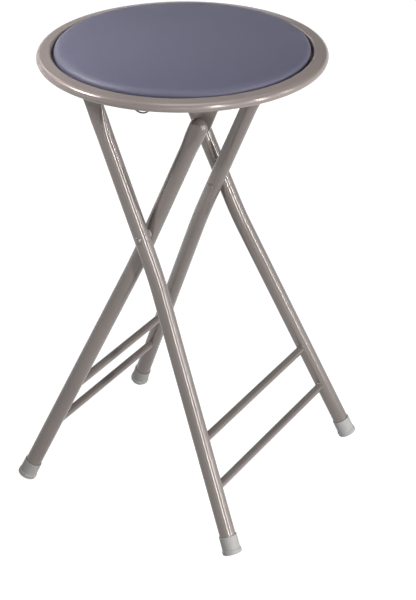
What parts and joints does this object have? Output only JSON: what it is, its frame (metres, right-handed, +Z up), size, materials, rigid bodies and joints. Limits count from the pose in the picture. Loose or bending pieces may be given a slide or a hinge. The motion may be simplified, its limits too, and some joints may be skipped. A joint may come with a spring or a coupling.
{
  "type": "folding bar stool",
  "caption": "Backless folding stool: round padded seat in a rolled metal rim on two crossing tubular leg frames with stretchers, capped feet and a wire catch.",
  "frame": {"origin": "on the floor under the centre of the round seat, with the stool open", "axes": "+Z up; +X towards the outer frame's feet, across the scissor; the pivots, stretchers and pins lie along Y, and the catch wire is on the -Y side"},
  "size_m": [0.3589, 0.359, 0.6096],
  "materials": {
    "frame_paint": "satin taupe paint on steel tube",
    "rim_paint": "satin taupe paint on pressed steel",
    "rivet_paint": "satin taupe paint",
    "bracket_paint": "satin taupe paint on steel sheet",
    "foot_cap": "matt grey moulded plastic",
    "washer_plastic": "plain moulded plastic",
    "pin_steel": "plain zinc plated steel",
    "fastener_steel": "plain zinc plated steel",
    "wire_steel": "dark spring wire",
    "cover_vinyl": "slate vinyl with a fine grain",
    "foam": "upholstery foam",
    "board_wood": "plywood, unfinished"
  },
  "bodies": {
    "outer_frame": {"outer_leg_front": "frame_paint", "outer_leg_rear": "frame_paint", "outer_stretcher_upper": "frame_paint", "outer_stretcher_lower": "frame_paint", "outer_foot_front": "foot_cap", "outer_foot_rear": "foot_cap", "pivot_rivet_front": "rivet_paint", "pivot_rivet_rear": "rivet_paint", "pivot_spacer_front": "washer_plastic", "pivot_spacer_rear": "washer_plastic"},
    "inner_frame": {"inner_leg_front": "frame_paint", "inner_leg_rear": "frame_paint", "inner_stretcher_upper": "frame_paint", "inner_stretcher_lower": "frame_paint", "inner_foot_front": "foot_cap", "inner_foot_rear": "foot_cap", "catch_pin_front": "pin_steel", "catch_pin_rear": "pin_steel"},
    "seat": {"seat_pan": "rim_paint", "pad_board": "board_wood", "pad_foam": "foam", "pad_cover": "cover_vinyl", "pad_screws": "fastener_steel", "bracket_rivets": "fastener_steel", "hinge_bracket_front": "bracket_paint", "hinge_bracket_rear": "bracket_paint", "hinge_pin_front": "pin_steel", "hinge_pin_rear": "pin_steel", "hinge_washer_front": "washer_plastic", "hinge_washer_rear": "washer_plastic", "hook_bracket_front": "bracket_paint", "hook_bracket_rear": "bracket_paint", "catch_pivot": "fastener_steel"},
    "catch": {"catch_wire": "wire_steel"}
  },
  "joints": [
    {"name": "frame_fold", "type": "hinge", "parent": "outer_frame", "child": "inner_frame", "pos_m": [0, 0, 0.3838], "axis": [0, -1, 0], "range_deg": [0, 43]},
    {"name": "seat_tilt", "type": "hinge", "parent": "outer_frame", "child": "seat", "pos_m": [-0.07681, 0, 0.56], "axis": [0, -1, 0], "range_deg": [0, 112]},
    {"name": "catch_release", "type": "hinge", "parent": "seat", "child": "catch", "pos_m": [0.08383, 0, 0.56029], "axis": [0, -1, 0], "range_deg": [0, 12], "stiffness_Nm_per_rad": 0.05, "springref_deg": -17.19}
  ],
  "couplings": [
    {"joint": "seat_tilt", "follows": "frame_fold", "ratio": 2.6}
  ]
}
